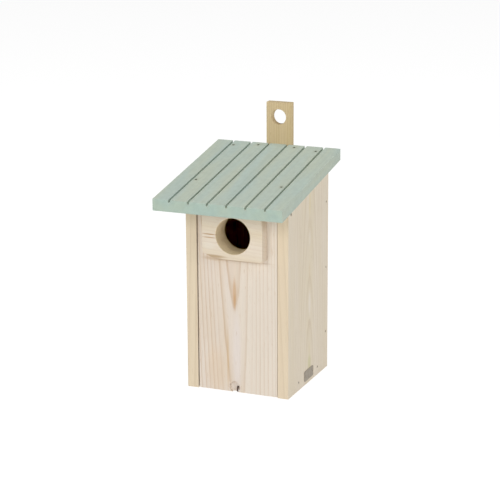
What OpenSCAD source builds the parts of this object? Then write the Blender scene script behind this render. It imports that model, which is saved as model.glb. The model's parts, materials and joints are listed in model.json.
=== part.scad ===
// Nest box of planed boards: a front door hung on two nails, a thick plate round the
// entrance hole, a lean-to roof with saw kerfs, and a slat behind to hang it by.
// Millimetres. The front faces -Y, +Z is up, and the origin is on the ground in the
// middle of the whole footprint, roof and slat included.

/* [Body] */
// Width over the two side boards
body_w = 150; // [140:1:180]
// Depth of the side boards, front edge to back edge
body_d = 153; // [140:1:200]
// Height of the side boards at their front edges
front_h = 277; // [270:1:330]
// Thickness of the planed boards
board_t = 16; // [14:0.5:18]
// Height of the floor board's underside above the ground
floor_z = 2; // [0:0.5:4]
// Diameter of the drain holes in the floor board
drain_d = 6; // [4:0.5:10]

/* [Roof] */
// Width of the roof board
roof_w = 185; // [170:1:220]
// How far the roof reaches past the front of the body
overhang = 66; // [40:1:80]
// Slope of the roof in degrees, rising to the back
pitch = 10; // [5:0.5:15]
// Number of saw kerfs in the top of the roof
kerf_n = 6; // [2:1:6]
// Spacing of the kerfs, middle to middle
kerf_pitch = 27.3; // [24:0.1:28]
// Width of a kerf
kerf_w = 3; // [2:0.5:4]
// Depth of a kerf
kerf_depth = 4; // [2:0.5:6]

/* [Door] */
// Gap between the door and the left side board
gap_left = 1.7; // [0.4:0.1:2]
// Gap between the door and the right side board
gap_right = 0.4; // [0.4:0.1:2]
// Gap between the ground and the door
door_z = 1; // [0.5:0.5:2]
// Height of the door board
door_h = 269; // [262:1:270]
// Height of the two nails that the door turns on
pivot_z = 257.5; // [254:0.5:260]
// Distance of those nails behind the front face
pivot_y = 10; // [8:0.5:11]

/* [Entrance] */
// Diameter of the entrance hole
hole_d = 50; // [28:1:54]
// Height of the middle of the entrance hole
hole_z = 226.5; // [218:0.5:228]
// How far the hole is to the right of the middle
hole_x = 1.3; // [-3:0.1:3]
// Width of the entrance plate
plate_w = 88; // [80:1:100]
// Height of the entrance plate
plate_h = 66; // [62:1:70]

/* [Latch] */
// Thickness of the hook's wire
wire_d = 2.2; // [2:0.1:2.4]
// Height of the hook's shank
hook_z = 7.4; // [7:0.1:9]
// Length of the hook's arm below the middle of the shank
hook_arm = 6.2; // [5:0.1:6.4]
// Diameter of the shallow recess that the arm turns in
recess_d = 15.6; // [15.2:0.2:18]
// Depth of that recess
recess_depth = 4; // [4:0.5:6]
// Width of the slot that lets the door swing off the hook
slot_w = 3.2; // [3:0.1:4]

/* [Slat] */
// Width of the hanging slat
slat_w = 37; // [30:1:50]
// Thickness of the hanging slat
slat_t = 11; // [9:0.5:14]
// Length of the hanging slat
slat_len = 350; // [330:1:378]
// Height of the slat's top end
slat_top = 379; // [378:1:400]
// Diameter of the hole that it hangs by
slat_hole_d = 21.6; // [10:0.2:24]
// Distance of that hole's middle below the top end
slat_hole_drop = 20.7; // [16:0.1:25]

/* [Fasteners] */
// Thickness of the wire nails
nail_d = 1.8; // [1.4:0.1:2]
// Diameter of their small heads
nail_head_d = 2.8; // [2.4:0.1:3.6]
// Thickness of the two nails that the door turns on
pivot_d = 2.5; // [2:0.1:3]
// Diameter of their heads
pivot_head_d = 3.8; // [3.2:0.1:5]
// Length of the two nails that the door turns on
pivot_len = 40; // [32:1:45]

/* [Tag] */
// Length of the blank tag on the right side board
tag_w = 34.5; // [20:0.5:45]
// Height of the tag
tag_h = 15; // [10:1:18]
// Thickness of the tag
tag_t = 0.7; // [0.6:0.1:1.2]

/* [Hidden] */
$fn = 48;

pine = [0.87, 0.81, 0.73];
pine_edge = [0.85, 0.79, 0.68];
aged_pine = [0.80, 0.71, 0.55];
sage = [0.70, 0.75, 0.69];
steel = [0.55, 0.55, 0.56];
blacked = [0.25, 0.22, 0.20];
tin = [0.62, 0.60, 0.55];

// Planes of the body, front to back
y_roof = -(overhang + body_d + slat_t) / 2;
y_front = y_roof + overhang;
y_back = y_front + body_d;
y_inner = y_front + board_t;
y_chamber = y_back - board_t;
inner_w = body_w - 2 * board_t;

// Roof thickness measured plumb, and lengths along the slope
roof_t = board_t / cos(pitch);
roof_run = (y_back - y_roof) / cos(pitch);
door_x = -inner_w / 2 + gap_left;
door_w = inner_w - gap_left - gap_right;
plate_z = hole_z - plate_h / 2;

// Fit of what turns: the radius that a hole is larger than its nail or wire
running = 0.05;
// Extra depth that a cutting shape reaches past a face
past = 1;

head_t = 0.8;
nail_len = 35;
plate_nail_len = 27;
slat_nail_len = 24;
tag_pin_len = 10;
tag_pin_d = 1.2;
tag_pin_head = 2.2;
tag_corner = 3;

roof_nail_x = 62;
roof_nail_y = [7.5, 136];
rear_nail_x = 27;
floor_nail_y = [39, 112];
floor_nail_z = 12;
floor_rear_x = 38;
back_nail_z = [55, 150, 245];
plate_nail_x = 34;
plate_nail_dz = 24;
slat_nail_z = [60, 165, 270];
slat_nail_x = 8;
drain_x = 32;
drain_y = 32;
tag_y = 76.7;
tag_z = 13;

hook_x = -0.9;
hook_len = 36;
hook_bend = 2.4;
arm_y = 2.2;
recess_x = -4.2;
recess_rise = 0.8;
stop_gap = 0.4;

// Underside and top of the roof at a given y
function under_z(y) = front_h + (y - y_front) * tan(pitch);
function top_z(y) = under_z(y) + roof_t;

// ---- helpers ----

// Draws a side-view outline of [y, z] points as a board of the given width from x
module side_view(x, w, points) {
    translate([x, 0, 0])
        rotate([90, 0, 90])
            linear_extrude(w) polygon(points);
}

// Wire nail with a small flat head flush at z = 0, its shank going down
module nail(len, d, head_d, head = head_t) {
    tip = 1.6 * d;
    rotate_extrude()
        polygon([[0, 0], [head_d / 2, 0], [head_d / 2, -head], [d / 2, -head],
                 [d / 2, tip - len], [0, -len]]);
}

// The hole that such a nail fills, with play added to its radius
module nail_hole(len, d, head_d, play = 0, head = head_t) {
    translate([0, 0, -len]) cylinder(h = len + past, r = d / 2 + play);
    translate([0, 0, -head]) cylinder(h = head + past, r = head_d / 2 + play);
}

module small_nail(len = nail_len) nail(len, nail_d, nail_head_d);
module small_hole(len = nail_len) nail_hole(len, nail_d, nail_head_d);

// Puts its children on the outside of a side board, pointing outwards
module on_side(side, y, z) {
    translate([side * body_w / 2, y_front + y, z]) rotate([0, side * 90, 0]) children();
}

// Puts its children on the roof's top, standing square to the slope
module on_roof(x, y) {
    translate([x, y_front + y, top_z(y_front + y)]) rotate([pitch, 0, 0]) children();
}

// Puts its children on an upright face at y, pointing backwards
module facing_back(x, y, z) {
    translate([x, y, z]) rotate([-90, 0, 0]) children();
}

// ---- where the nails go ----

module at_roof_nails(side) for (y = roof_nail_y) on_roof(side * roof_nail_x, y) children();

module at_rear_nails() {
    for (x = [-rear_nail_x, rear_nail_x]) on_roof(x, body_d - board_t / 2 - 1.5) children();
}

module at_floor_nails(side) for (y = floor_nail_y) on_side(side, y, floor_nail_z) children();

module at_floor_rear_nails() {
    for (x = [-floor_rear_x, floor_rear_x]) facing_back(x, y_back, floor_nail_z) children();
}

module at_back_nails(side) {
    for (z = back_nail_z) on_side(side, body_d - board_t / 2, z) children();
}

module at_plate_nails() {
    for (x = [-plate_nail_x, plate_nail_x], dz = [-plate_nail_dz, plate_nail_dz])
        facing_back(x, y_inner, hole_z + dz) children();
}

module at_slat_nails() {
    for (i = [0 : len(slat_nail_z) - 1])
        facing_back((i % 2 == 0 ? 1 : -1) * slat_nail_x, y_back + slat_t, slat_nail_z[i])
            children();
}

module at_pivot(side) on_side(side, pivot_y, pivot_z) children();

module at_tag_pins() {
    for (dy = [-1, 1]) on_side(1, tag_y + dy * (tag_w / 2 - tag_corner), tag_z) children();
}

// ---- boards ----

module roof_board() {
    color(sage) difference() {
        side_view(-roof_w / 2, roof_w,
                  [[y_roof, under_z(y_roof)], [y_back, under_z(y_back)],
                   [y_back, top_z(y_back)], [y_roof, top_z(y_roof)]]);
        for (i = [0 : kerf_n - 1])
            translate([(i - (kerf_n - 1) / 2) * kerf_pitch, y_roof, top_z(y_roof)])
                rotate([pitch, 0, 0])
                    translate([-kerf_w / 2, -board_t, -kerf_depth])
                        cube([kerf_w, roof_run + 2 * board_t, kerf_depth + board_t]);
        for (side = [-1, 1]) at_roof_nails(side) small_hole();
        at_rear_nails() small_hole();
    }
}

module side_board(side) {
    color(pine_edge) difference() {
        side_view(side > 0 ? inner_w / 2 : -body_w / 2, board_t,
                  [[y_front, 0], [y_back, 0], [y_back, under_z(y_back)], [y_front, front_h]]);
        at_roof_nails(side) small_hole();
        at_floor_nails(side) small_hole();
        at_back_nails(side) small_hole();
        at_pivot(side) nail_hole(pivot_len, pivot_d, pivot_head_d);
        if (side > 0) at_tag_pins() cylinder(h = 2 * tag_pin_len, d = tag_pin_d, center = true);
    }
}

module side_board_left() side_board(-1);
module side_board_right() side_board(1);

module back_board() {
    color(pine) difference() {
        side_view(-inner_w / 2, inner_w,
                  [[y_chamber, 0], [y_back, 0], [y_back, under_z(y_back)],
                   [y_chamber, under_z(y_chamber)]]);
        for (side = [-1, 1]) at_back_nails(side) small_hole();
        at_rear_nails() small_hole();
        at_floor_rear_nails() small_hole();
        at_slat_nails() small_hole(slat_nail_len);
    }
}

module floor_board() {
    color(pine) difference() {
        translate([-inner_w / 2, y_inner + stop_gap, floor_z])
            cube([inner_w, y_chamber - y_inner - stop_gap, board_t]);
        for (x = [-drain_x, drain_x], y = [-drain_y, drain_y])
            translate([x, (y_inner + y_chamber) / 2 + y, floor_z - past])
                cylinder(h = board_t + 2 * past, d = drain_d);
        for (side = [-1, 1]) at_floor_nails(side) small_hole();
        at_floor_rear_nails() small_hole();
        facing_back(hook_x, y_front + arm_y, hook_z)
            cylinder(h = hook_len, r = wire_d / 2 + running);
    }
}

// Slat that the box hangs by, behind the back board
module hanging_slat() {
    color(aged_pine) difference() {
        translate([-slat_w / 2, y_back, slat_top - slat_len]) cube([slat_w, slat_t, slat_len]);
        facing_back(0, y_back - past, slat_top - slat_hole_drop)
            cylinder(h = slat_t + 2 * past, d = slat_hole_d);
        at_slat_nails() small_hole(slat_nail_len);
    }
}

// ---- door ----

module entrance_bore() {
    facing_back(hole_x, y_front - 2 * board_t, hole_z) cylinder(h = 4 * board_t, d = hole_d);
}

module front_door() {
    color(pine) difference() {
        translate([door_x, y_front, door_z]) cube([door_w, board_t, door_h]);
        entrance_bore();
        facing_back(recess_x, y_front - past, hook_z + recess_rise)
            cylinder(h = recess_depth + past, d = recess_d);
        facing_back(hook_x, y_front - past, hook_z)
            cylinder(h = board_t + 2 * past, d = slot_w);
        translate([hook_x - slot_w / 2, y_front - past, door_z - past])
            cube([slot_w, board_t + 2 * past, hook_z - door_z + past]);
        for (side = [-1, 1]) at_pivot(side) nail_hole(pivot_len + past, pivot_d, pivot_head_d, running);
        at_plate_nails() small_hole(plate_nail_len);
    }
}

module entrance_plate() {
    color(pine) difference() {
        translate([-plate_w / 2, y_front - board_t, plate_z]) cube([plate_w, board_t, plate_h]);
        entrance_bore();
        at_plate_nails() small_hole(plate_nail_len);
    }
}

// ---- hook that holds the door shut: its shank turns in the floor board's front edge ----

module latch_hook() {
    shank_y = y_front + arm_y + hook_bend;
    color(blacked) union() {
        facing_back(hook_x, shank_y, hook_z) cylinder(h = hook_len - hook_bend - 4, d = wire_d);
        facing_back(hook_x, y_front + arm_y + hook_len - 4, hook_z)
            cylinder(h = 4, d1 = wire_d, d2 = 0.4);
        translate([hook_x, shank_y, hook_z - hook_bend])
            rotate([90, 0, 90]) rotate([0, 0, 90])
                rotate_extrude(angle = 90) translate([hook_bend, 0]) circle(d = wire_d);
        translate([hook_x, y_front + arm_y, hook_z - hook_arm])
            cylinder(h = hook_arm - hook_bend, d = wire_d);
    }
}

// ---- fasteners ----

module pivot_nail(side) color(steel) at_pivot(side) nail(pivot_len, pivot_d, pivot_head_d);
module pivot_nail_left() pivot_nail(-1);
module pivot_nail_right() pivot_nail(1);

module plate_nails() color(steel) at_plate_nails() small_nail(plate_nail_len);
module roof_nails_left() color(steel) at_roof_nails(-1) small_nail();
module roof_nails_right() color(steel) at_roof_nails(1) small_nail();
module roof_nails_rear() color(steel) at_rear_nails() small_nail();
module floor_nails_left() color(steel) at_floor_nails(-1) small_nail();
module floor_nails_right() color(steel) at_floor_nails(1) small_nail();
module floor_nails_rear() color(steel) at_floor_rear_nails() small_nail();
module back_nails_left() color(steel) at_back_nails(-1) small_nail();
module back_nails_right() color(steel) at_back_nails(1) small_nail();
module slat_nails() color(steel) at_slat_nails() small_nail(slat_nail_len);

// ---- blank tag on the right side board ----

module blank_tag() {
    color(tin) difference() {
        translate([body_w / 2, y_front + tag_y, tag_z])
            rotate([90, 0, 90])
                linear_extrude(tag_t) union() {
                    square([tag_w - 2 * tag_corner, tag_h], center = true);
                    square([tag_w, tag_h - 2 * tag_corner], center = true);
                    for (x = [-1, 1], y = [-1, 1])
                        translate([x * (tag_w / 2 - tag_corner), y * (tag_h / 2 - tag_corner)])
                            circle(r = tag_corner);
                }
        at_tag_pins() cylinder(h = 2 * tag_pin_len, d = tag_pin_d, center = true);
    }
}

module tag_pins() {
    color(tin) at_tag_pins()
        translate([0, 0, tag_t + 0.4]) nail(tag_pin_len, tag_pin_d, tag_pin_head, 0.4);
}

roof_board();
side_board_left();
side_board_right();
back_board();
floor_board();
front_door();
entrance_plate();
hanging_slat();
latch_hook();
pivot_nail_left();
pivot_nail_right();
plate_nails();
roof_nails_left();
roof_nails_right();
roof_nails_rear();
floor_nails_left();
floor_nails_right();
floor_nails_rear();
back_nails_left();
back_nails_right();
slat_nails();
blank_tag();
tag_pins();
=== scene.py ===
# %% [markdown]
# # A nest box of planed spruce
# This lesson dresses a nest box for starlings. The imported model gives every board, nail and
# hook its real size and place, and it stays the measure for all that follows. The looks are
# made on top of it: softened edges, saw kerfs with a little wear, growth rings that run
# through the wood from face to edge, a thin green stain, and dull steel and aluminium.

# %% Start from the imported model
import json
import math

import bmesh
import bpy
from mathutils import Matrix, Vector


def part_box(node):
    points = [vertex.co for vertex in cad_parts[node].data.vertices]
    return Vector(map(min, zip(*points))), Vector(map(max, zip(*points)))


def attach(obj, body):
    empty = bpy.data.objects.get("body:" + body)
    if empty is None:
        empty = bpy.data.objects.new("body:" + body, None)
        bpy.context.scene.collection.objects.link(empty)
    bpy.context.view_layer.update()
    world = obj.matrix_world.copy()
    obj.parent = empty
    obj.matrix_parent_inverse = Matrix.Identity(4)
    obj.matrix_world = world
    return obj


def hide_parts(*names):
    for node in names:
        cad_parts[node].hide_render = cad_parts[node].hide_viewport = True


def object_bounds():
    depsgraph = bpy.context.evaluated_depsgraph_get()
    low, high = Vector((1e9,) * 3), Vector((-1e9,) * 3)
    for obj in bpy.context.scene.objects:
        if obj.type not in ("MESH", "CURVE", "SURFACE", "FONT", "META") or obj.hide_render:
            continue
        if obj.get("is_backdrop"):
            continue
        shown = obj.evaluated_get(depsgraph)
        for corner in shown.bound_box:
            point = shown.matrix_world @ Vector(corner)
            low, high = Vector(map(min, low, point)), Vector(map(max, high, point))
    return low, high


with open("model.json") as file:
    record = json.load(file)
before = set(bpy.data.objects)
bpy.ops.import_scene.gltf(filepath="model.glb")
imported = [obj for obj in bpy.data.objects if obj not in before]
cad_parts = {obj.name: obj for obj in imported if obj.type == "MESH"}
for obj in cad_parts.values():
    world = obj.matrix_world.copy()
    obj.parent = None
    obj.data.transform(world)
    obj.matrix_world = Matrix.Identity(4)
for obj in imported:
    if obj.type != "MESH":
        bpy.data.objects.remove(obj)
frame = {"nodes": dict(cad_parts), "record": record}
cad_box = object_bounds()

record = frame["record"]
BODY_OF = {node: body for body, nodes in record["behaviour"]["bodies"].items() for node in nodes}
print("bodies:", sorted(set(BODY_OF.values())), "nodes:", len(BODY_OF))

# %% [markdown]
# ## Units and colours
# Blender works in metres and in linear light. A joiner works in millimetres and a colour card
# is read as sRGB, so one factor and two functions do the turning for the whole lesson.

# %% Millimetres and sRGB hex
MM = 0.001


def linear(code):
    """Turns an sRGB hex colour such as "DDD0C0" into linear red, green, blue and alpha."""
    parts = [int(code[i:i + 2], 16) / 255 for i in (0, 2, 4)]
    return tuple(p / 12.92 if p <= 0.04045 else ((p + 0.055) / 1.055) ** 2.4 for p in parts) + (1.0,)


def mm(x, y, z):
    """A point or a size given in millimetres."""
    return Vector((x, y, z)) * MM


print("the middle grey 808080 is", round(linear("808080")[0], 3), "in linear light")

# %% [markdown]
# ## The camera
# A long lens from two and a half metres keeps the boards' edges nearly parallel, as in a
# catalogue. The camera is set by where it aims, how far away it stands and its two angles, and
# it is turned a third of a degree about its own line of sight, as a hand-held camera is.

# %% Camera
AIM = mm(-12.5, 27.5, 183.3)
DISTANCE = 2.4524
AZIMUTH, ELEVATION, ROLL = (math.radians(a) for a in (22.756, 15.192, -0.315))

camera = bpy.data.objects.new("camera", bpy.data.cameras.new("camera"))
bpy.context.scene.collection.objects.link(camera)
bpy.context.scene.camera = camera
camera.data.sensor_width = 36.0
camera.data.lens = 126.91
turn = (Matrix.Rotation(AZIMUTH, 4, "Z") @ Matrix.Rotation(math.pi / 2 - ELEVATION, 4, "X")
        @ Matrix.Rotation(ROLL, 4, "Z"))
camera.matrix_world = Matrix.Translation(AIM + turn.to_3x3() @ Vector((0, 0, DISTANCE))) @ turn
print("camera at", [round(c, 3) for c in camera.matrix_world.translation])

# %% [markdown]
# ## One helper for every shader node
# A material is a small graph. This function adds one node, sets what it is told to set, fills
# each input with a value or with the output of another node, and returns one output, so that
# a graph reads from top to bottom like a recipe.

# %% Shader helper


def add(tree, kind, inputs=None, out=0, stops=None, **settings):
    """Adds a shader node with its settings, values and links, and returns one of its outputs.
    Stops are places and shades along a ramp."""
    node = tree.nodes.new("ShaderNode" + kind)
    for name, value in settings.items():
        setattr(node, name, value)
    for key, value in (inputs or {}).items():
        if isinstance(value, bpy.types.NodeSocket):
            tree.links.new(value, node.inputs[key])
        else:
            node.inputs[key].default_value = value
    for i, (place, shade) in enumerate(stops or []):
        dots = node.color_ramp.elements
        dot = dots[i] if i < 2 else dots.new(place)
        dot.position, dot.color = place, (shade, shade, shade, 1.0)
    return node.outputs[out] if node.outputs else node


def new_tree(name):
    """Makes an empty node material and returns it with its tree."""
    material = bpy.data.materials.new(name)
    material.use_nodes = True
    material.node_tree.nodes.clear()
    return material, material.node_tree


# %% [markdown]
# ## Table and light
# The box is shown as in a catalogue, on a table of milky acrylic lit from below, so that hardly
# a shadow is left and the lower boards and the underside of the eave get light too. The room
# is a soft grey white. Three soft lamps do the rest: one overhead for the roof, one at the
# front left for the front, low enough that the eave shades only a narrow band below it, and
# one at the right, which also reaches into the left wall of the entrance hole.

# %% Table, room and lamps
TABLE_SIDE = 60.0  # metres
TABLE_DROP = 0.0003  # metres below the ground, so that the box's foot does not flicker
TABLE_GLOW = 0.86
ROOM_LIGHT = 0.32
LAMPS = {  # name: azimuth and elevation in degrees, distance and side in metres, power in watts
    "overhead lamp": (0, 86, 3.6, 2.4, 60),
    "front lamp": (-12, 24, 3.6, 0.9, 31),
    "right lamp": (60, 25, 3.6, 1.6, 34.5),
}

bpy.ops.object.select_all(action="DESELECT")
bpy.ops.mesh.primitive_plane_add(size=TABLE_SIDE, location=(0, 0, -TABLE_DROP))
table = bpy.context.object
table.name = "light_table"
acrylic, tree = new_tree("milky acrylic, lit from below")
surface = add(tree, "BsdfPrincipled", {"Base Color": linear("898989"), "Roughness": 0.9,
                                       "Specular IOR Level": 0.0, "Emission Color": (1, 1, 1, 1),
                                       "Emission Strength": TABLE_GLOW})
add(tree, "OutputMaterial", {"Surface": surface})
table.data.materials.append(acrylic)
table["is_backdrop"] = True

world = bpy.data.worlds.new("soft white room")
bpy.context.scene.world = world
world.use_nodes = True
world.node_tree.nodes["Background"].inputs["Color"].default_value = (1.0, 1.0, 1.0, 1.0)
world.node_tree.nodes["Background"].inputs["Strength"].default_value = ROOM_LIGHT

for name, (azimuth, elevation, distance, side, watts) in LAMPS.items():
    around, up = math.radians(azimuth), math.radians(elevation)
    toward = Vector((math.sin(around) * math.cos(up), -math.cos(around) * math.cos(up), math.sin(up)))
    lamp = bpy.data.objects.new(name, bpy.data.lights.new(name, "AREA"))
    bpy.context.scene.collection.objects.link(lamp)
    lamp.data.size = side
    lamp.data.energy = watts
    lamp.location = AIM + toward * distance
    lamp.rotation_euler = toward.to_track_quat("Z", "Y").to_euler()
print("room", ROOM_LIGHT, "table", TABLE_GLOW, "lamps", [round(v[4]) for v in LAMPS.values()], "W")

# %% [markdown]
# A deep hole should look black. Raising the black point sees to that: it takes a sliver of
# light from everything, which only the darkest places show. "Standard" keeps the colours as
# they were chosen.

# %% Black point
view = bpy.context.scene.view_settings
view.view_transform = "Standard"
view.use_curve_mapping = True
view.curve_mapping.black_level = (0.01, 0.01, 0.01)
view.curve_mapping.update()
print("view", view.view_transform, "black", round(view.curve_mapping.black_level[0], 4))

# %% [markdown]
# ## Spruce, from the tree outwards
# Spruce is pale because most of each growth ring is early wood, grown fast in spring. The late
# wood that ends each ring is thin, darker and harder. Both can be computed: a board is a slice
# of a trunk, so the distance from the trunk's pith says which ring a point is in. Where a face
# runs nearly along the rings they open into long arches, and where it cuts across them they
# are straight lines, so one formula gives faces, edges and end grain that belong together.

# %% Growth rings


def growth(tree, pith, lean, ring, first=0.0, wander=3.0, uneven=1.0, seed=0.0):
    """Returns the late wood's share at a point, and the point itself in mm with z along the
    grain. The pith's place, the ring's width and the first ring's radius are in mm."""
    place = add(tree, "TexCoord", out="Object")
    grain = add(tree, "Mapping", {"Vector": place, "Location": mm(*pith), "Rotation": lean,
                                  "Scale": (MM, MM, MM)}, vector_type="TEXTURE")
    # A trunk is never quite round nor quite straight.
    slow = add(tree, "VectorMath", {0: grain, 1: (1 / 70, 1 / 70, 1 / 420)}, operation="MULTIPLY")
    drift = add(tree, "TexNoise", {"Vector": slow, "W": seed, "Scale": 1.0, "Detail": 1.5}, out=1,
                noise_dimensions="4D")
    drift = add(tree, "VectorMath", {0: drift, 1: (0.5, 0.5, 0.5)}, operation="SUBTRACT")
    bent = add(tree, "VectorMath", {0: drift, 1: (wander, wander, 0), 2: grain},
               operation="MULTIPLY_ADD")
    flat = add(tree, "VectorMath", {0: bent, 1: (1, 1, 0)}, operation="MULTIPLY")
    radius = add(tree, "VectorMath", {0: flat}, out=1, operation="LENGTH")
    # Wet years grow wide rings and dry years narrow ones.
    years = add(tree, "Math", {0: radius, 1: 1 / (2.6 * ring)}, operation="MULTIPLY")
    years = add(tree, "TexNoise", {"W": years, "Scale": 1.0, "Detail": 0.0}, noise_dimensions="1D")
    fine = add(tree, "VectorMath", {0: grain, 1: (1 / 2.5, 1 / 2.5, 1 / 70)}, operation="MULTIPLY")
    fine = add(tree, "TexNoise", {"Vector": fine, "Scale": 1.0, "Detail": 2.0})
    wobble = add(tree, "Math", {0: years, 1: uneven, 2: -0.5 * uneven - 0.1}, operation="MULTIPLY_ADD")
    wobble = add(tree, "Math", {0: fine, 1: 0.2, 2: wobble}, operation="MULTIPLY_ADD")
    count = add(tree, "Math", {0: radius, 1: first}, operation="SUBTRACT")
    count = add(tree, "Math", {0: count, 1: 1 / ring, 2: wobble}, operation="MULTIPLY_ADD")
    phase = add(tree, "Math", {0: count}, operation="FRACT")
    number = add(tree, "Math", {0: count}, operation="FLOOR")
    number = add(tree, "Math", {0: number, 1: seed}, operation="ADD")
    vigour = add(tree, "TexWhiteNoise", {"W": number}, noise_dimensions="1D")
    vigour = add(tree, "MapRange", {0: vigour, 3: 0.45, 4: 1.0})
    profile = add(tree, "ValToRGB", {0: phase},
                  stops=[(0.0, 0.5), (1.0, 0.8), (0.06, 0.04), (0.42, 0.05), (0.74, 0.3), (0.92, 1.0)])
    late = add(tree, "Math", {0: profile, 1: vigour}, operation="MULTIPLY")
    return late, grain


# %% [markdown]
# ## Planed spruce
# The finish is bare wood straight off the planer: no gloss, a faint sheen on the late wood,
# fibres that catch the light, and small brown flecks of resin. The real fibres are a thirtieth
# of a millimetre wide; they are drawn as streaks a millimetre wide, the finest that can still
# show at this distance. End grain drinks light, so faces across the grain are made darker.
# What makes one board different from the next is a short list of marks, each a soft long spot
# of its own colour: a resin streak, a brown ring, a pale band. A few marks are painted shade
# and painted light instead: shadow under the entrance plate, shade on its end, a paler bore.

# %% Tints and spots


def tint(tree, wood, colour, share):
    """Mixes a colour into the wood by a share between 0 and 1."""
    return add(tree, "Mix", {0: share, 6: wood, 7: colour}, out=2, data_type="RGBA")


def spot(tree, centre, size, strength, hard=0.35):
    """Returns the share of a soft long spot, its centre and half sizes given in mm. It fades
    from the part of its size called hard out to its rim."""
    place = add(tree, "TexCoord", out="Object")
    away = add(tree, "VectorMath", {0: place, 1: mm(*centre)}, operation="SUBTRACT")
    away = add(tree, "VectorMath", {0: away, 1: mm(*size)}, operation="DIVIDE")
    away = add(tree, "VectorMath", {0: away}, out=1, operation="LENGTH")
    return add(tree, "MapRange", {0: away, 1: 1.0, 2: hard, 3: 0.0, 4: strength},
               interpolation_type="SMOOTHSTEP")


# %% [markdown]
# The wood itself is then built up in the order that the tree and the joiner made it: early
# wood, warm patches, late wood, marks (a few of them painted shade and light), fibres, resin
# ducts, and last the darker end grain.

# %% Planed spruce
DUCT_SHARE = 0.4


def spruce(name, early, late, amber, rings, contrast, grain_axis=(0, 0, 1), edge=None, marks=(),
           end_tone=0.86, shade=None):
    """Makes planed spruce of three sRGB colours: early wood, late wood and its warmer patches.
    An edge is a direction and the colour of the faces that look that way. A shade is where it
    starts and ends across the board in mm, its colour and how much of the rings it leaves."""
    material, tree = new_tree(name)
    share, grain = growth(tree, **rings)
    share = add(tree, "Math", {0: share, 1: contrast}, operation="MULTIPLY")
    # Broad warm patches, a hand wide and longer than the board.
    patch = add(tree, "VectorMath", {0: grain, 1: (1 / 26, 1 / 26, 1 / 240)}, operation="MULTIPLY")
    patch = add(tree, "TexNoise", {"Vector": patch, "Scale": 1.0, "Detail": 2.0})
    patch = add(tree, "MapRange", {0: patch, 1: 0.38, 2: 0.68})
    pale = tint(tree, linear(early), linear(amber), patch)
    if shade:
        # One half of the board is sapwood and shows its rings more faintly.
        across = add(tree, "SeparateXYZ", {0: grain}, out=0)
        across = add(tree, "MapRange", {0: across, 1: shade[0], 2: shade[1]},
                     interpolation_type="SMOOTHSTEP")
        pale = tint(tree, pale, linear(shade[2]), across)
        fade = add(tree, "MapRange", {0: across, 3: 1.0, 4: shade[3]})
        share = add(tree, "Math", {0: share, 1: fade}, operation="MULTIPLY")
    normal = add(tree, "TexCoord", out="Normal")
    if edge:
        facing = add(tree, "VectorMath", {0: normal, 1: edge[0]}, out=1, operation="DOT_PRODUCT")
        facing = add(tree, "Math", {0: facing}, operation="ABSOLUTE")
        facing = add(tree, "MapRange", {0: facing, 1: 0.5, 2: 0.9})
        pale = tint(tree, pale, linear(edge[1]), facing)
    wood = tint(tree, pale, linear(late), share)
    for centre, size, colour, *strength in marks:
        wood = tint(tree, wood, linear(colour), spot(tree, centre, size, *strength))
    # Fibres, drawn a millimetre wide.
    fibre = add(tree, "VectorMath", {0: grain, 1: (1, 1, 1 / 45)}, operation="MULTIPLY")
    fibre = add(tree, "TexNoise", {"Vector": fibre, "Scale": 1.0, "Detail": 4.0, "Roughness": 0.7})
    tone = add(tree, "MapRange", {0: fibre, 1: 0.25, 2: 0.75, 3: 0.95, 4: 1.05})
    wood = add(tree, "VectorMath", {0: wood, "Scale": tone}, operation="SCALE")
    # Resin ducts show as short brown dashes.
    duct = add(tree, "VectorMath", {0: grain, 1: (1 / 0.9, 1 / 0.9, 1 / 11)}, operation="MULTIPLY")
    duct = add(tree, "TexNoise", {"Vector": duct, "Scale": 1.0, "Detail": 0.0})
    duct = add(tree, "MapRange", {0: duct, 1: 0.74, 2: 0.84, 4: DUCT_SHARE})
    wood = tint(tree, wood, linear(late), duct)
    # End grain is darker than the faces.
    across = add(tree, "VectorMath", {0: normal, 1: grain_axis}, out=1, operation="DOT_PRODUCT")
    across = add(tree, "Math", {0: across}, operation="ABSOLUTE")
    across = add(tree, "MapRange", {0: across, 1: 0.7, 2: 0.98, 3: 1.0, 4: end_tone})
    wood = add(tree, "VectorMath", {0: wood, "Scale": across}, operation="SCALE")
    rough = add(tree, "MapRange", {0: share, 3: 0.72, 4: 0.55})
    relief = add(tree, "Math", {0: share, 1: 0.6, 2: fibre}, operation="MULTIPLY_ADD")
    normal = add(tree, "Bump", {"Strength": 0.35, "Distance": 0.12 * MM, "Height": relief})
    surface = add(tree, "BsdfPrincipled", {"Base Color": wood, "Roughness": rough, "Normal": normal,
                                           "IOR": 1.45, "Specular IOR Level": 0.3})
    add(tree, "OutputMaterial", {"Surface": surface})
    return material


# %% [markdown]
# The door is cut from near the heart, so its rings open into a long V that points down, with a
# brown resinous tongue in it and a strong ring to its left. The rest of the boards are calmer.
# Each mark gives its centre and half sizes in mm, its colour and its share.

# %% The boards' own woods
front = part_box("front_door")[0].y / MM
plate_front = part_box("entrance_plate")[0].y / MM
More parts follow.
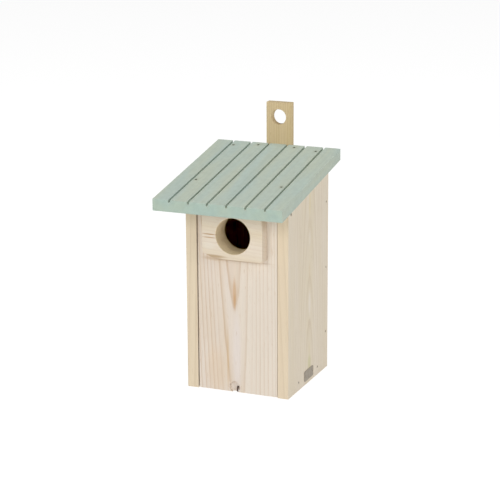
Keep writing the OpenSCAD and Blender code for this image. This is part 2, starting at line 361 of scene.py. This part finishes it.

# The wall of the entrance hole is painted paler and warmer than the faces: painted light that
# brightens the inside of the bore.
BORE_WALL_PAINTED_LIGHT = ((1.3, front, 226.5), (25.9, 900, 25.9), "F3DFBC", 0.8, 0.966)
# The two brown bands at 189 mm, just under the entrance plate, are painted shadow cast by the plate.
DOOR_MARKS_AND_SHADOWS = (BORE_WALL_PAINTED_LIGHT, ((-32, front, 189), (24, 6, 4.5), "C3AB8C", 0.55),
              ((4, front, 189), (60, 6, 2.0), "BCA58A", 0.65),
              ((-3.6, front, 143), (3.6, 8, 27), "CAA680", 0.7),
              ((-3.3, front, 131), (2.4, 8, 15), "C4996E", 0.5),
              ((-0.5, front, 56), (8.0, 12, 80), "E0D6D0", 0.6),
              ((-14.0, front, 45), (2.2, 8, 62), "CBAB80", 0.45),
              ((-32.0, front, 30), (20.0, 8, 46), "DABF9F", 0.3),
              ((-4.2, front + 4, 8), (10.0, 6, 10), "E0D7CE", 0.6))
door_wood = spruce("planed spruce, heart side", "E0D4C7", "BF9F7A", "DCCCB8",
                   {"pith": (-3.1, front + 31.9, 115), "lean": (0.029, -0.025, 0), "ring": 4.4,
                    "first": 31.9, "wander": 1.2, "uneven": 0.7, "seed": 3.0},
                   contrast=0.6, marks=DOOR_MARKS_AND_SHADOWS, shade=(-6, 14, "E1D6C8", 0.6))

SIDE_MARKS = (((75, 31, 258), (12, 5, 24), "DACBA3", 0.5),
              ((75, 31, 116), (12, 6, 24), "E6DDD3", 0.6),
              ((75, 31, 208), (12, 5, 18), "E3DACD", 0.5),
              ((75, 31, 162), (12, 4, 16), "D6C4A4", 0.45),
              ((75, 31, 48), (12, 4, 14), "D8CAA6", 0.4),
              ((75, 31, 29), (12, 8, 15), "CFC8A2", 0.75),
              ((75, -39, 257.5), (3, 3.2, 3.2), "6F6850", 0.6),
              ((75, -10, 12), (2, 3.5, 3.0), "B3AA97", 0.4),
              ((75, 63, 12), (2, 3.5, 3.0), "B3AA97", 0.4))
right_wood = spruce("planed spruce, right side", "DFD4C3", "BFA98A", "DCD0BA",
                    {"pith": (35, 31, 90), "lean": (0, -0.05, 0), "ring": 3.8, "first": 40.0,
                     "wander": 2.5, "seed": 11.0}, contrast=0.4, edge=((0, 1, 0), "DECDB3"),
                    marks=SIDE_MARKS)
left_wood = spruce("planed spruce, left side", "DFD4C3", "BFA98A", "DCD0BA",
                   {"pith": (-40, 20, 120), "lean": (0, 0.03, 0), "ring": 3.9, "first": 34.0,
                    "seed": 21.0}, contrast=0.4, edge=((0, 1, 0), "DFCFB5"))
inner_wood = spruce("planed spruce, back and floor", "D6C6AF", "B39673", "CFBC9E",
                    {"pith": (12, 70, 150), "lean": (0.02, 0.03, 0), "ring": 4.8, "seed": 31.0},
                    contrast=0.45)

PLATE_MARKS_AND_SHADE = (BORE_WALL_PAINTED_LIGHT, ((-33, plate_front, 226.7), (14, 8, 1.1), "B08A62", 0.9),
               ((-33, plate_front, 222.2), (14, 8, 1.0), "B8926A", 0.75),
               # The brown band along the plate's lower left wane is painted shadow.
               ((-30, plate_front, 196.6), (28, 24, 3.2), "B59B7B", 0.85),
               ((-34, plate_front, 211), (14, 8, 7), "E4DACB", 0.6),
               # The dark mark high on the plate's right end face is painted shade under the eave.
               ((44, plate_front + 8, 262), (3, 20, 34), "B49E82", 0.6))
# The edge colour darkens the plate's end faces: partly darker end grain, partly painted shade.
plate_wood = spruce("planed spruce, laid level", "E2D5C4", "BF9F7B", "DDCEB6",
                    {"pith": (0, -30, 300), "lean": (0, math.pi / 2 + 0.06, 0), "ring": 5.2,
                     "seed": 41.0}, grain_axis=(1, 0, 0), contrast=0.2,
                    edge=((1, 0, 0), "D8CAB8"), marks=PLATE_MARKS_AND_SHADE, end_tone=0.98)
slat_wood = spruce("planed pine slat", "D6C29C", "A98B5C", "CFBA8E",
                   {"pith": (-70, 96, 340), "lean": (0, 0.01, 0), "ring": 2.6, "seed": 51.0},
                   contrast=0.6)
timber = (door_wood, right_wood, left_wood, inner_wood, plate_wood, slat_wood)
print("timber:", [wood.name for wood in timber])

# %% [markdown]
# ## Sage stain
# The roof is the same spruce under a thin water-based stain. The stain is matt and a little
# uneven, and the wood's rings show through it only faintly. Round each sunk nail the stain is
# painted a paler ring, with a dark spot over the head's seat.

# %% Sage stain
PITCH = math.radians(10)


def sage_stain(name):
    """Makes the roof's thin green stain over spruce whose grain runs down the slope."""
    material, tree = new_tree(name)
    share, grain = growth(tree, pith=(10, 20, 255), lean=(PITCH - math.pi / 2, 0, 0), ring=5.0,
                          seed=61.0)
    patch = add(tree, "VectorMath", {0: grain, 1: (1 / 24, 1 / 24, 1 / 120)}, operation="MULTIPLY")
    patch = add(tree, "TexNoise", {"Vector": patch, "Scale": 1.0, "Detail": 3.0})
    patch = add(tree, "MapRange", {0: patch, 1: 0.35, 2: 0.65})
    green = tint(tree, linear("B1BFB6"), linear("B8C0B0"), patch)
    share = add(tree, "Math", {0: share, 1: 0.1}, operation="MULTIPLY")
    green = tint(tree, green, linear("8E9A84"), share)
    # The sawn front end drinks more of it and turns bluer.
    facing = add(tree, "TexCoord", out="Normal")
    facing = add(tree, "SeparateXYZ", {0: facing}, out=1)
    facing = add(tree, "MapRange", {0: facing, 1: -0.5, 2: -0.9, 4: 0.45})
    green = tint(tree, green, linear("9DB6AA"), facing)
    # The brush leaves the stain thicker and thinner over patches the size of a fingertip.
    place = add(tree, "TexCoord", out="Object")
    blotch = add(tree, "TexNoise", {"Vector": place, "Scale": 1 / (7 * MM), "Detail": 3.0})
    blotch = add(tree, "MapRange", {0: blotch, 1: 0.3, 2: 0.7, 3: 0.955, 4: 1.035})
    green = add(tree, "VectorMath", {0: green, "Scale": blotch}, operation="SCALE")
    # A paler ring and a dark spot round every nail.
    for head in [line[0] / MM for node in ROOF_NAILS for line in NAILS[node]]:
        green = tint(tree, green, linear("ABAF9C"), spot(tree, head, (6, 8, 8), 0.5, 0.2))
        green = tint(tree, green, linear("555E4C"), spot(tree, head, (2.2, 2.4, 2.4), 0.8, 0.6))
    fibre = add(tree, "VectorMath", {0: grain, 1: (1 / 1.2, 1 / 1.2, 1 / 30)}, operation="MULTIPLY")
    fibre = add(tree, "TexNoise", {"Vector": fibre, "Scale": 1.0, "Detail": 4.0, "Roughness": 0.7})
    tone = add(tree, "MapRange", {0: fibre, 1: 0.25, 2: 0.75, 3: 0.95, 4: 1.04})
    green = add(tree, "VectorMath", {0: green, "Scale": tone}, operation="SCALE")
    normal = add(tree, "Bump", {"Strength": 0.3, "Distance": 0.12 * MM, "Height": fibre})
    surface = add(tree, "BsdfPrincipled", {"Base Color": green, "Roughness": 0.75, "Normal": normal,
                                           "IOR": 1.45, "Specular IOR Level": 0.3})
    add(tree, "OutputMaterial", {"Surface": surface})
    return material


# %% [markdown]
# ## Metal
# The nails are bright steel wire that has dulled, the hook is blackened steel wire and the tag
# is thin aluminium left to weather. A clean metal shows only what it reflects. These three lie
# under oxide and dirt to different degrees, and that, roughness and tone set them apart.

# %% Steel wire and aluminium


def metal(name, tone, dark, rough, grit, metallic):
    """Makes a dull metal whose tone varies over patches of the given size in mm. The less
    metallic it is, the more dirt and oxide lie on it."""
    material, tree = new_tree(name)
    place = add(tree, "TexCoord", out="Object")
    spots = add(tree, "TexNoise", {"Vector": place, "Scale": 1 / (grit * MM), "Detail": 4.0})
    spread = add(tree, "MapRange", {0: spots, 1: 0.35, 2: 0.65})
    colour = tint(tree, linear(dark), linear(tone), spread)
    roughness = add(tree, "MapRange", {0: spots, 3: rough - 0.08, 4: rough + 0.1})
    normal = add(tree, "Bump", {"Strength": 0.2, "Distance": 0.02 * MM, "Height": spots})
    surface = add(tree, "BsdfPrincipled", {"Base Color": colour, "Roughness": roughness,
                                           "Metallic": metallic, "Normal": normal})
    add(tree, "OutputMaterial", {"Surface": surface})
    return material


nail_steel = metal("dulled steel wire", "72746A", "4C4F46", 0.55, 0.8, 0.7)
hook_wire = metal("blackened steel wire", "664C42", "42332D", 0.5, 1.2, 0.3)
tag_metal = metal("weathered aluminium sheet", "ACA396", "9A9082", 0.7, 2.5, 0.2)
print("metals:", [made.name for made in (nail_steel, hook_wire, tag_metal)])

# %% [markdown]
# ## Boards as a joiner makes them
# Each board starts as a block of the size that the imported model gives. Tops are dropped to the
# roof's slope by moving one edge, holes are bored by cutting with cylinders, and sharp edges
# are eased by about half a millimetre, as the planer and a few strokes of sandpaper leave them.
# An eased edge catches a thin line of light, which is what makes wood look like wood.

# %% Pick, block and shift


def deselect():
    """Leaves nothing selected, so that the next operator acts only on what is picked."""
    bpy.ops.object.select_all(action="DESELECT")


def pick(piece):
    """Makes one object the selected and active one."""
    deselect()
    piece.select_set(True)
    bpy.context.view_layer.objects.active = piece


def settle(piece):
    """Moves an object's place, turn and size into its mesh."""
    pick(piece)
    bpy.ops.object.transform_apply(location=True, rotation=True, scale=True)


def block(name, low, high):
    """Adds a rectangular block between two corners."""
    deselect()
    bpy.ops.mesh.primitive_cube_add(size=1.0, location=(low + high) / 2, scale=high - low)
    piece = bpy.context.object
    piece.name = name
    settle(piece)
    return piece


def shift(piece, chosen, by):
    """Moves the vertices that a test chooses, in edit mode."""
    pick(piece)
    bpy.ops.object.mode_set(mode="EDIT")
    mesh = bmesh.from_edit_mesh(piece.data)
    for vertex in mesh.verts:
        vertex.select_set(chosen(vertex.co))
    mesh.select_flush_mode()
    bmesh.update_edit_mesh(piece.data)
    bpy.ops.transform.translate(value=by)
    bpy.ops.object.mode_set(mode="OBJECT")


# %% [markdown]
# Cutting is done with modifiers. Each is applied at once, so that the next step works on the
# finished mesh, and the cutter is thrown away after its cut.

# %% Cut, slice and bore
REACH = 5.0  # how far a cutter stands out of the wood, in mm


def apply_modifier(piece, kind, **settings):
    """Adds one modifier and applies it."""
    pick(piece)
    modifier = piece.modifiers.new(kind.lower(), kind)
    for name, value in settings.items():
        setattr(modifier, name, value)
    bpy.ops.object.modifier_apply(modifier=modifier.name)


def cut(piece, cutter):
    """Takes the cutter's shape out of a piece."""
    apply_modifier(piece, "BOOLEAN", operation="DIFFERENCE", object=cutter, solver="EXACT")
    bpy.data.objects.remove(cutter)


def slice_off(piece, point, outward):
    """Cuts a piece along a plane and throws away the side that the outward direction points to."""
    pick(piece)
    bpy.ops.object.mode_set(mode="EDIT")
    bpy.ops.mesh.select_all(action="SELECT")
    bpy.ops.mesh.bisect(plane_co=point, plane_no=outward, use_fill=True, clear_outer=True)
    bpy.ops.object.mode_set(mode="OBJECT")


def rod(start, end, radius, sides=24):
    """Adds a round rod between two points, for boring a hole."""
    deselect()
    line = end - start
    bpy.ops.mesh.primitive_cylinder_add(vertices=sides, radius=radius, depth=line.length,
                                        location=(start + end) / 2,
                                        rotation=line.to_track_quat("Z", "Y").to_euler())
    settle(bpy.context.object)
    return bpy.context.object


# %% [markdown]
# A bevel on every sharp edge is the planer's and the sandpaper's work. Weighted normals then
# keep the broad faces looking flat, and only the small eased edges look round.

# %% Ease and hand over
EASE = 0.5


def ease(piece, width=EASE):
    """Eases every sharp edge by a width in mm and keeps bored walls smooth."""
    apply_modifier(piece, "BEVEL", width=width * MM, segments=2, limit_method="ANGLE",
                   angle_limit=math.radians(40), use_clamp_overlap=False)
    pick(piece)
    bpy.ops.object.shade_smooth_by_angle(angle=math.radians(25))


def hand_over(piece, node, material):
    """Gives a finished piece its material and body, and lets it stand for its CAD node."""
    apply_modifier(piece, "WEIGHTED_NORMAL", keep_sharp=True)
    piece.data.materials.clear()
    piece.data.materials.append(material)
    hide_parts(node)
    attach(piece, BODY_OF[node])
    print(f"{piece.name}: {len(piece.data.polygons)} faces, rides on {BODY_OF[node]}")


# %% [markdown]
# ## Where the nails are
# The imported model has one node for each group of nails. A copy of each is taken apart into
# single nails, and each nail gives two points: the middle of its head and its tip. These are
# used to sink a seat into the board, to set a better nail into it and to stain round the heads.

# %% Find the nails
ROOF_NAILS = ["roof_nails_left", "roof_nails_right", "roof_nails_rear"]
NAIL_NODES = [node for node in BODY_OF if "nail" in node or node == "tag_pins"]
NAIL_AXES = (Vector((1, 0, 0)), Vector((0, 1, 0)), Vector((0, -math.sin(PITCH), math.cos(PITCH))))


def nail_lines(node):
    """Returns the head's middle and the tip of every nail in a CAD node."""
    mesh = bmesh.new()
    mesh.from_mesh(frame["nodes"][node].data)
    bmesh.ops.remove_doubles(mesh, verts=mesh.verts, dist=0.001 * MM)
    seen, lines = set(), []
    for first in mesh.verts:
        if first in seen:
            continue
        seen.add(first)
        nail = [first]
        # The list grows while it is read, until the whole nail is in it.
        for vertex in nail:
            beside = [link.other_vert(vertex) for link in vertex.link_edges]
            new = [near for near in beside if near not in seen]
            seen.update(new)
            nail += new
        middle = sum((v.co for v in nail), Vector()) / len(nail)

        def spread(axis, only=None):
            """How far the nail's vertices stand off an axis through its middle."""
            return max(((v.co - middle).cross(axis).length for v in nail
                        if only is None or abs((v.co - middle).dot(axis) - only) < 0.02 * MM))

        axis = min(NAIL_AXES, key=spread)
        ends = [(v.co - middle).dot(axis) for v in nail]
        head = max((max(ends), min(ends)), key=lambda end: spread(axis, end))
        tip = min(ends) if head == max(ends) else max(ends)
        lines.append((middle + axis * head, middle + axis * tip))
    mesh.free()
    return lines


NAILS = {node: nail_lines(node) for node in NAIL_NODES}
print("nails:", {node: len(lines) for node, lines in NAILS.items()})


def seat_nails(piece, nodes, radius, depth):
    """Sinks a shallow round seat into an eased piece at each nail's head."""
    for head, tip in [line for node in nodes for line in NAILS[node]]:
        inward = (tip - head).normalized()
        cut(piece, rod(head - inward * MM, head + inward * depth * MM, radius * MM, 16))


# %% [markdown]
# ## Side boards and back board
# Two sides and a back between them, all cut to the roof's slope at the top. They are blocks
# with their front top edge dropped, which is quicker and truer than drawing an outline. The
# nails' seats are sunk after the edges are eased, so they stay crisp.

# %% Side boards and back board
HEAD_SEAT, SEAT_DEPTH = 1.65, 0.6
PIVOT_SEAT, PIVOT_SEAT_DEPTH = 1.75, 0.3
SIDE_EASE = 0.6


def sloped_board(node):
    """Makes a board the size of its CAD node with its top cut to the roof's slope."""
    low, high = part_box(node)
    piece = block("planed_" + node, low, high)
    drop = (high.y - low.y) * math.tan(PITCH)
    shift(piece, lambda co: co.y < low.y + MM and co.z > high.z - MM, (0, 0, -drop))
    return piece


for side, wood in (("left", left_wood), ("right", right_wood)):
    board = sloped_board("side_board_" + side)
    ease(board, SIDE_EASE)
    seat_nails(board, ["floor_nails_" + side, "back_nails_" + side], HEAD_SEAT, SEAT_DEPTH)
    seat_nails(board, ["pivot_nail_" + side], PIVOT_SEAT, PIVOT_SEAT_DEPTH)
    hand_over(board, "side_board_" + side, wood)

back = sloped_board("back_board")
ease(back)
seat_nails(back, ["floor_nails_rear"], HEAD_SEAT, SEAT_DEPTH)
hand_over(back, "back_board", inner_wood)

# %% [markdown]
# ## Floor
# A plain board between the sides, bored with four drain holes so that the nest stays dry.

# %% Floor board
DRAIN_RADIUS = 3.0
DRAIN_STEP = 32.0
DRAIN_REACH = 25.0

low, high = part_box("floor_board")
base = block("planed_floor_board", low, high)
middle = Vector((0, (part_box("front_door")[1].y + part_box("back_board")[0].y) / 2, 0))
for across in (-DRAIN_STEP, DRAIN_STEP):
    for along in (-DRAIN_STEP, DRAIN_STEP):
        drain = middle + mm(across, along, 0)
        cut(base, rod(drain - mm(0, 0, REACH), drain + mm(0, 0, DRAIN_REACH), DRAIN_RADIUS * MM))
ease(base)
hand_over(base, "floor_board", inner_wood)

# %% [markdown]
# ## Roof
# One wide board, laid to the slope with its ends cut plumb. Six saw kerfs run down it from end
# to end. The block is sheared into the slope by lifting its back edge, and each kerf is a thin
# block turned to the slope and cut out.

# %% Roof board
KERFS = 6
KERF_PITCH, KERF_WIDTH, KERF_DEPTH = 27.3, 3.0, 4.0
SAW_REACH = 20.0

low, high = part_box("roof_board")
slope = math.tan(PITCH)
rise = (high.y - low.y) * slope
front_top = high.z - rise
roof = block("kerfed_roof_board", low, Vector((high.x, high.y, front_top)))
shift(roof, lambda co: co.y > high.y - MM, (0, 0, rise))
half = KERF_WIDTH / 2 * MM
bottom = front_top - KERF_DEPTH / math.cos(PITCH) * MM
for i in range(KERFS):
    x = (i - (KERFS - 1) / 2) * KERF_PITCH * MM
    saw = block("saw", Vector((x - half, low.y - SAW_REACH * MM, bottom)),
                Vector((x + half, high.y + SAW_REACH * MM, front_top + SAW_REACH * MM)))
    for vertex in saw.data.vertices:
        vertex.co.z += (vertex.co.y - low.y) * slope
    cut(roof, saw)
ease(roof)
seat_nails(roof, ROOF_NAILS, HEAD_SEAT, SEAT_DEPTH)
hand_over(roof, "roof_board", sage_stain("sage stain on spruce"))

# %% [markdown]
# ## Door and entrance plate
# The door carries a thick plate round the hole, which keeps a cat's or a woodpecker's reach
# out of the nest. Both are bored through together. At the foot of the door a shallow recess
# lets the hook's arm turn to its left, and a slot lets the door swing past the hook.

# %% Door
HOLE_X, HOLE_Z, HOLE_RADIUS = 1.3, 226.5, 25.0
HOOK_X, HOOK_Z = -0.9, 7.4
RECESS_RADIUS, RECESS_DEPTH = 7.8, 4.0
RECESS_X, RECESS_RISE = -4.2, 0.8
SLOT_WIDTH = 3.2


def bore(piece, x, z, radius, near, far, sides=24):
    """Bores a level hole from in front of near to behind far; x, z and the radius are in mm."""
    cut(piece, rod(Vector((x * MM, near - REACH * MM, z * MM)),
                   Vector((x * MM, far + REACH * MM, z * MM)), radius * MM, sides))


def bore_entrance(piece):
    """Bores the entrance hole through a piece, as if plate and door were one."""
    bore(piece, HOLE_X, HOLE_Z, HOLE_RADIUS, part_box("entrance_plate")[0].y,
         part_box("front_door")[1].y, 96)


low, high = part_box("front_door")
door = block("planed_front_door", low, high)
bore_entrance(door)
recess = Vector((RECESS_X * MM, low.y, (HOOK_Z + RECESS_RISE) * MM))
cut(door, rod(recess - mm(0, REACH, 0), recess + mm(0, RECESS_DEPTH, 0), RECESS_RADIUS * MM, 48))
ease(door)
seat_nails(door, ["plate_nails"], HEAD_SEAT, SEAT_DEPTH)
# The slot is sawn last, so its edges stay sharp.
bore(door, HOOK_X, HOOK_Z, SLOT_WIDTH / 2, low.y, high.y)
left, right = ((HOOK_X + way * SLOT_WIDTH / 2) * MM for way in (-1, 1))
cut(door, block("slot", Vector((left, low.y - REACH * MM, low.z - REACH * MM)),
                Vector((right, high.y + REACH * MM, HOOK_Z * MM))))
hand_over(door, "front_door", door_wood)

# %% [markdown]
# The plate was sawn from the outside of a log, and its lower left corner still has some wane,
# the rounded edge that lay under the bark. Three slanted cuts at different angles leave a
# corner that looks worn round.

# %% Entrance plate
WANE = ((18.0, 7.0, 40.0), (32.0, 2.6, 24.0), (6.0, 10.0, 30.0))  # along, up and inwards, in mm
PLATE_EASE = 0.7

low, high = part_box("entrance_plate")
plate = block("planed_entrance_plate", low, high)
for along, up, deep in WANE:
    corner = [low + mm(along, 0, 0), low + mm(0, 0, up), low + mm(0, deep, 0)]
    outward = (corner[1] - corner[0]).cross(corner[2] - corner[0]).normalized()
    if outward.dot(low - corner[0]) < 0:
        outward.negate()
    slice_off(plate, corner[0], outward)
bore_entrance(plate)
ease(plate, PLATE_EASE)
hand_over(plate, "entrance_plate", plate_wood)

# %% [markdown]
# ## Hanging slat
# A narrow strip of pine with one hole near its top. The hole is big enough to slip over the
# head of a coach screw.

# %% Hanging slat
SLAT_HOLE_RADIUS = 10.8
SLAT_HOLE_DROP = 20.7

low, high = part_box("hanging_slat")
slat = block("planed_hanging_slat", low, high)
bore(slat, 0, high.z / MM - SLAT_HOLE_DROP, SLAT_HOLE_RADIUS, low.y, high.y, 64)
ease(slat)
seat_nails(slat, ["slat_nails"], HEAD_SEAT, SEAT_DEPTH)
hand_over(slat, "hanging_slat", slat_wood)

# %% [markdown]
# ## Nails
# Each nail is half an outline turned round its axis, as on a lathe: a flat disc of a head with
# a bevelled rim, a straight shank and a point. It is set a little below the wood, as a nail
# punch leaves it.

# %% One nail
RIM_DROP, HEAD_DEPTH = 0.15, 0.7


def wire_nail(name, length, shank, head):
    """Turns a nail on a lathe, the top of its head at the origin and its point straight down."""
    outline = ((0, 0), (0.41 * head, 0), (head / 2, -RIM_DROP), (head / 2, -HEAD_DEPTH),
               (shank / 2, -HEAD_DEPTH), (shank / 2, 1.5 * shank - length), (0, -length))
    mesh = bpy.data.meshes.new(name)
    turned = bmesh.new()
    points = [turned.verts.new(mm(out, 0, up)) for out, up in outline]
    for start, end in zip(points, points[1:]):
        turned.edges.new((start, end))
    turned.to_mesh(mesh)
    turned.free()
    nail = bpy.data.objects.new(name, mesh)
    bpy.context.scene.collection.objects.link(nail)
    pick(nail)
    bpy.ops.object.mode_set(mode="EDIT")
    bpy.ops.mesh.select_all(action="SELECT")
    bpy.ops.mesh.spin(steps=20, angle=2 * math.pi, axis=(0, 0, 1), center=(0, 0, 0))
    bpy.ops.mesh.select_all(action="SELECT")
    bpy.ops.mesh.remove_doubles(threshold=0.01 * MM)
    bpy.ops.mesh.normals_make_consistent(inside=False)
    bpy.ops.object.mode_set(mode="OBJECT")
    return nail


# %% [markdown]
# The copies of a nail that share a node are joined into one piece. The two pivot nails are
# thicker, because the door hangs on them.

# %% Nails in their places
WIRE_NAIL = (1.8, 2.8)  # shank and head, in mm
PIVOT_NAIL = (2.5, 3.2)
TAG_PIN = (1.2, 2.2)
NAIL_SINK, PIVOT_SINK = 0.35, 0.1


def set_nails(node, name, size, material, sink):
    """Sets a nail in every place of a CAD node and joins them into one piece."""
    copies = []
    for top, tip in NAILS[node]:
        inward = (tip - top).normalized()
        nail = wire_nail(name, (tip - top).length / MM - sink, *size)
        nail.rotation_euler = (-inward).to_track_quat("Z", "Y").to_euler()
        nail.location = top + inward * sink * MM
        settle(nail)
        copies.append(nail)
    deselect()
    for nail in copies:
        nail.select_set(True)
    bpy.context.view_layer.objects.active = copies[0]
    if len(copies) > 1:
        bpy.ops.object.join()
    piece = bpy.context.object
    piece.name = name
    bpy.ops.object.shade_smooth_by_angle(angle=math.radians(35))
    hand_over(piece, node, material)


for node in NAIL_NODES:
    if node.startswith("pivot"):
        set_nails(node, "wire_" + node, PIVOT_NAIL, nail_steel, PIVOT_SINK)
    elif node != "tag_pins":
        set_nails(node, "wire_" + node, WIRE_NAIL, nail_steel, NAIL_SINK)

# %% [markdown]
# ## Latch hook
# A wire hook bent through a right angle. It starts as a disc of wire at the arm's lower end.
# The disc is drawn up the arm, spun round the bend and pulled straight back into the floor,
# where it ends in a point.

# %% Latch hook
WIRE = 2.2
BEND = 2.4
POINT, POINT_TAPER = 4.0, 0.15
BURR = 0.3

low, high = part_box("latch_hook")
arm_y = low.y + WIRE / 2 * MM
deselect()
bpy.ops.mesh.primitive_circle_add(vertices=20, radius=WIRE / 2 * MM, fill_type="NGON",
                                  location=(HOOK_X * MM, arm_y, low.z))
hook = bpy.context.object
hook.name = "bent_latch_hook"
settle(hook)
pick(hook)
bpy.ops.object.mode_set(mode="EDIT")
bpy.ops.mesh.select_all(action="SELECT")
bpy.ops.mesh.extrude_region_move(
    TRANSFORM_OT_translate={"value": (0, 0, (HOOK_Z - BEND) * MM - low.z)})
bpy.ops.mesh.spin(steps=10, angle=math.pi / 2, axis=(1, 0, 0),
                  center=(HOOK_X * MM, arm_y + BEND * MM, (HOOK_Z - BEND) * MM))
bpy.ops.mesh.extrude_region_move(
    TRANSFORM_OT_translate={"value": (0, high.y - POINT * MM - (arm_y + BEND * MM), 0)})
bpy.ops.mesh.extrude_region_move(TRANSFORM_OT_translate={"value": (0, POINT * MM, 0)})
bpy.ops.transform.resize(value=(POINT_TAPER, 1, POINT_TAPER))
bpy.ops.mesh.select_all(action="SELECT")
bpy.ops.mesh.remove_doubles(threshold=0.01 * MM)
bpy.ops.mesh.normals_make_consistent(inside=False)
bpy.ops.object.mode_set(mode="OBJECT")
apply_modifier(hook, "BEVEL", width=BURR * MM, segments=2, limit_method="ANGLE",
               angle_limit=math.radians(60))
bpy.ops.object.shade_smooth_by_angle(angle=math.radians(35))
hand_over(hook, "latch_hook", hook_wire)

# %% [markdown]
# ## Tag
# A small blank plate with round corners and a raised rim, held by two pins. Its corners are
# the edges that run along X, and its face is the one that looks along X.

# %% Tag
TAG_CORNER, TAG_RIM = 3.0, 1.2
TAG_STEP, TAG_SINK = 0.5, 0.1
TAG_EASE = 0.12

low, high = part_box("blank_tag")
tag = block("blank_metal_tag", low, high)
pick(tag)
bpy.ops.object.mode_set(mode="EDIT")
bpy.ops.mesh.select_all(action="DESELECT")
bpy.ops.mesh.select_mode(type="EDGE")
mesh = bmesh.from_edit_mesh(tag.data)
for edge in mesh.edges:
    along = edge.verts[0].co - edge.verts[1].co
    if abs(along.x) > 0.9 * along.length:
        edge.select_set(True)
bmesh.update_edit_mesh(tag.data)
bpy.ops.mesh.bevel(offset=TAG_CORNER * MM, segments=8, affect="EDGES")
bpy.ops.mesh.select_all(action="DESELECT")
bpy.ops.mesh.select_mode(type="FACE")
mesh = bmesh.from_edit_mesh(tag.data)
for face in mesh.faces:
    if face.normal.x > 0.9:
        face.select_set(True)
bmesh.update_edit_mesh(tag.data)
bpy.ops.mesh.inset(thickness=TAG_RIM * MM)
bpy.ops.mesh.inset(thickness=TAG_STEP * MM, depth=-TAG_SINK * MM)
bpy.ops.mesh.select_mode(type="VERT")
bpy.ops.object.mode_set(mode="OBJECT")
ease(tag, TAG_EASE)
hand_over(tag, "blank_tag", tag_metal)
set_nails("tag_pins", "round_tag_pins", TAG_PIN, tag_metal, 0.0)

# %% [markdown]
# ## The sizes
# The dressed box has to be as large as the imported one. Both are written down side by side.

# %% Close the frame
visual_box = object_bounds()
for kind, (low, high) in (("packed", cad_box), ("dressed", visual_box)):
    print(kind, "size in mm:", [round((top - foot) / MM, 2) for foot, top in zip(low, high)])
